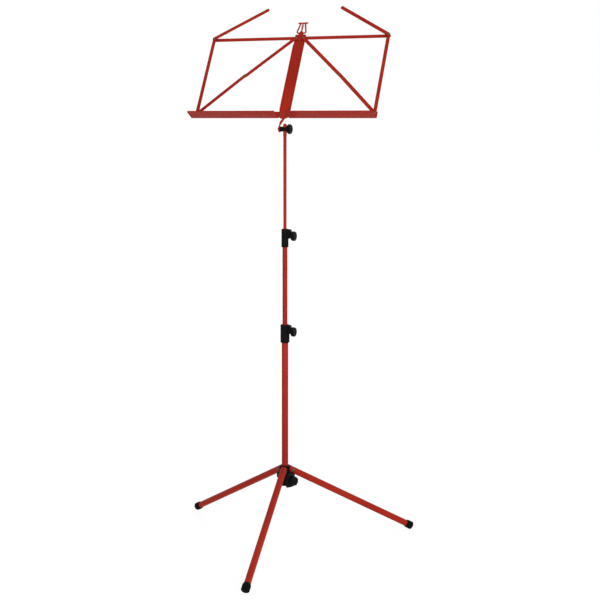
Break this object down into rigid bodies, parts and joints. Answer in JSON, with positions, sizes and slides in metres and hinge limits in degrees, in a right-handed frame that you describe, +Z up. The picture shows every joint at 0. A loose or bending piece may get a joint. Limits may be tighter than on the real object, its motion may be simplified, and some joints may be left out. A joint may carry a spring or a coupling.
{
  "type": "music stand",
  "caption": "Folding music stand with a tripod base, telescoping mast, and an open strip desk with a two-part tray and page arms.",
  "frame": {"origin": "on the floor, at the middle of the stand's overall footprint", "axes": "+Z up; the desk faces -Y; +X is to the right of someone reading at the desk"},
  "size_m": [0.6202, 0.5726, 1.3739],
  "materials": {
    "red_paint": "red powder coat, semi-gloss",
    "black_plastic": "moulded black nylon, satin",
    "rubber": "matt black rubber",
    "zinc": "zinc-plated steel",
    "white_nylon": "natural nylon"
  },
  "bodies": {
    "hub": {"base_hub": "black_plastic", "right_leg_rivet": "zinc", "left_leg_rivet": "zinc", "front_leg_rivet": "zinc"},
    "base_clamp_knob": {"base_knob": "black_plastic", "base_screw": "zinc"},
    "lower_mast": {"lower_tube": "red_paint", "lower_tube_plug": "black_plastic", "lower_clamp_collar": "black_plastic"},
    "lower_knob": {"lower_clamp_knob": "black_plastic", "lower_clamp_screw": "zinc"},
    "middle_bush": {"middle_tube_bush": "white_nylon"},
    "middle_mast": {"middle_tube": "red_paint", "upper_clamp_collar": "black_plastic"},
    "upper_knob": {"upper_clamp_knob": "black_plastic", "upper_clamp_screw": "zinc"},
    "rod_bush": {"top_rod_bush": "white_nylon"},
    "top_mast": {"top_rod": "red_paint", "tilt_barrel": "black_plastic"},
    "desk": {"spine": "red_paint", "lyre_finial": "red_paint", "tilt_bracket": "red_paint", "tongue_rivet": "zinc", "tilt_bolt": "zinc", "left_tray_rivet": "zinc", "right_tray_rivet": "zinc", "left_top_rivet": "zinc", "right_top_rivet": "zinc"},
    "tilt_clamp_knob": {"tilt_knob": "black_plastic"},
    "right_leg": {"right_leg_tube": "red_paint", "right_foot": "rubber"},
    "left_leg": {"left_leg_tube": "red_paint", "left_foot": "rubber"},
    "front_leg": {"front_leg_tube": "red_paint", "front_foot": "rubber"},
    "right_tray_half": {"right_tray": "red_paint", "right_outer_rivet": "zinc", "right_outer_spacer": "zinc"},
    "right_top_strip": {"right_top_bar": "red_paint", "right_corner_rivet": "zinc", "right_corner_spacer": "zinc"},
    "right_side_strip": {"right_side_bar": "red_paint"},
    "right_upper_strip": {"right_upper_diagonal": "red_paint"},
    "right_lower_strip": {"right_lower_diagonal": "red_paint", "right_middle_rivet": "zinc"},
    "right_arm": {"right_page_arm": "red_paint"},
    "left_tray_half": {"left_tray": "red_paint", "left_outer_rivet": "zinc", "left_outer_spacer": "zinc"},
    "left_top_strip": {"left_top_bar": "red_paint", "left_corner_rivet": "zinc", "left_corner_spacer": "zinc"},
    "left_side_strip": {"left_side_bar": "red_paint"},
    "left_upper_strip": {"left_upper_diagonal": "red_paint"},
    "left_lower_strip": {"left_lower_diagonal": "red_paint", "left_middle_rivet": "zinc"},
    "left_arm": {"left_page_arm": "red_paint"}
  },
  "joints": [
    {"name": "right_leg_fold", "type": "hinge", "parent": "hub", "child": "right_leg", "pos_m": [0.03412, 0.0808, 0.19213], "axis": [-0.5906, 0.807, 0], "range_deg": [0, 61]},
    {"name": "left_leg_fold", "type": "hinge", "parent": "hub", "child": "left_leg", "pos_m": [0.00106, 0.0772, 0.19213], "axis": [-0.4035, -0.915, 0], "range_deg": [0, 61]},
    {"name": "front_leg_fold", "type": "hinge", "parent": "hub", "child": "front_leg", "pos_m": [0.0207, 0.05037, 0.19213], "axis": [0.9942, 0.108, 0], "range_deg": [0, 61]},
    {"name": "base_knob_turn", "type": "hinge", "parent": "hub", "child": "base_clamp_knob", "pos_m": [0.04274, 0.05897, 0.16943], "axis": [0.9171, -0.3987, 0], "continuous": true},
    {"name": "mast_slide", "type": "slide", "parent": "hub", "child": "lower_mast", "axis": [0, 0, 1], "range_m": [-0.3, 0]},
    {"name": "lower_knob_turn", "type": "hinge", "parent": "lower_mast", "child": "lower_knob", "pos_m": [0.03552, 0.06946, 0.55773], "axis": [1, 0, 0], "continuous": true},
    {"name": "middle_tube_slide", "type": "slide", "parent": "lower_mast", "child": "middle_bush", "axis": [0, 0, 1], "range_m": [-0.195, 0.1]},
    {"name": "middle_tube_turn", "type": "hinge", "parent": "middle_bush", "child": "middle_mast", "pos_m": [0.01862, 0.06946, 0.4], "axis": [0, 0, 1], "continuous": true},
    {"name": "upper_knob_turn", "type": "hinge", "parent": "middle_mast", "child": "upper_knob", "pos_m": [0.03552, 0.06946, 0.80173], "axis": [1, 0, 0], "continuous": true},
    {"name": "top_rod_slide", "type": "slide", "parent": "middle_mast", "child": "rod_bush", "axis": [0, 0, 1], "range_m": [-0.225, 0.075]},
    {"name": "top_rod_turn", "type": "hinge", "parent": "rod_bush", "child": "top_mast", "pos_m": [0.01862, 0.06946, 0.69], "axis": [0, 0, 1], "continuous": true},
    {"name": "desk_tilt", "type": "hinge", "parent": "top_mast", "child": "desk", "pos_m": [0.01862, 0.06946, 1.06723], "axis": [-1, 0, 0], "range_deg": [-30, 60]},
    {"name": "tilt_knob_turn", "type": "hinge", "parent": "desk", "child": "tilt_clamp_knob", "pos_m": [0.02512, 0.06946, 1.06723], "axis": [1, 0, 0], "continuous": true},
    {"name": "right_tray_fold", "type": "hinge", "parent": "desk", "child": "right_tray_half", "pos_m": [0.02862, 0.06521, 1.10247], "axis": [0, -0.866, 0.5], "range_deg": [0, 88]},
    {"name": "right_top_bar_fold", "type": "hinge", "parent": "desk", "child": "right_top_strip", "pos_m": [0.02862, 0.17521, 1.293], "axis": [0, -0.866, 0.5], "range_deg": [0, 88]},
    {"name": "right_side_bar_fold", "type": "hinge", "parent": "right_tray_half", "child": "right_side_strip", "pos_m": [0.25362, 0.06521, 1.10247], "axis": [0, -0.866, 0.5], "range_deg": [-88, 0]},
    {"name": "right_upper_diagonal_fold", "type": "hinge", "parent": "desk", "child": "right_upper_strip", "pos_m": [0.02862, 0.17521, 1.293], "axis": [0, -0.866, 0.5], "range_deg": [0, 136]},
    {"name": "right_lower_diagonal_fold", "type": "hinge", "parent": "right_tray_half", "child": "right_lower_strip", "pos_m": [0.25362, 0.06521, 1.10247], "axis": [0, -0.866, 0.5], "range_deg": [-128, 0]},
    {"name": "right_page_arm_turn", "type": "hinge", "parent": "right_top_strip", "child": "right_arm", "pos_m": [0.25362, 0.17521, 1.293], "axis": [0, -0.866, 0.5], "range_deg": [-56, 31.7]},
    {"name": "left_tray_fold", "type": "hinge", "parent": "desk", "child": "left_tray_half", "pos_m": [0.00862, 0.06521, 1.10247], "axis": [0, 0.866, -0.5], "range_deg": [0, 88]},
    {"name": "left_top_bar_fold", "type": "hinge", "parent": "desk", "child": "left_top_strip", "pos_m": [0.00862, 0.17521, 1.293], "axis": [0, 0.866, -0.5], "range_deg": [0, 88]},
    {"name": "left_side_bar_fold", "type": "hinge", "parent": "left_tray_half", "child": "left_side_strip", "pos_m": [-0.21638, 0.06521, 1.10247], "axis": [0, 0.866, -0.5], "range_deg": [-88, 0]},
    {"name": "left_upper_diagonal_fold", "type": "hinge", "parent": "desk", "child": "left_upper_strip", "pos_m": [0.00862, 0.17521, 1.293], "axis": [0, 0.866, -0.5], "range_deg": [0, 136]},
    {"name": "left_lower_diagonal_fold", "type": "hinge", "parent": "left_tray_half", "child": "left_lower_strip", "pos_m": [-0.21638, 0.06521, 1.10247], "axis": [0, 0.866, -0.5], "range_deg": [-128, 0]},
    {"name": "left_page_arm_turn", "type": "hinge", "parent": "left_top_strip", "child": "left_arm", "pos_m": [-0.21638, 0.17521, 1.293], "axis": [0, 0.866, -0.5], "range_deg": [-56, 31.7]}
  ],
  "couplings": [
    {"joint": "right_top_bar_fold", "follows": "right_tray_fold", "ratio": 1},
    {"joint": "right_side_bar_fold", "follows": "right_tray_fold", "ratio": -1},
    {"joint": "right_upper_diagonal_fold", "follows": "right_tray_fold", "ratio": 1.5385},
    {"joint": "right_lower_diagonal_fold", "follows": "right_tray_fold", "ratio": -1.4544},
    {"joint": "left_top_bar_fold", "follows": "left_tray_fold", "ratio": 1},
    {"joint": "left_side_bar_fold", "follows": "left_tray_fold", "ratio": -1},
    {"joint": "left_upper_diagonal_fold", "follows": "left_tray_fold", "ratio": 1.5385},
    {"joint": "left_lower_diagonal_fold", "follows": "left_tray_fold", "ratio": -1.4544}
  ]
}
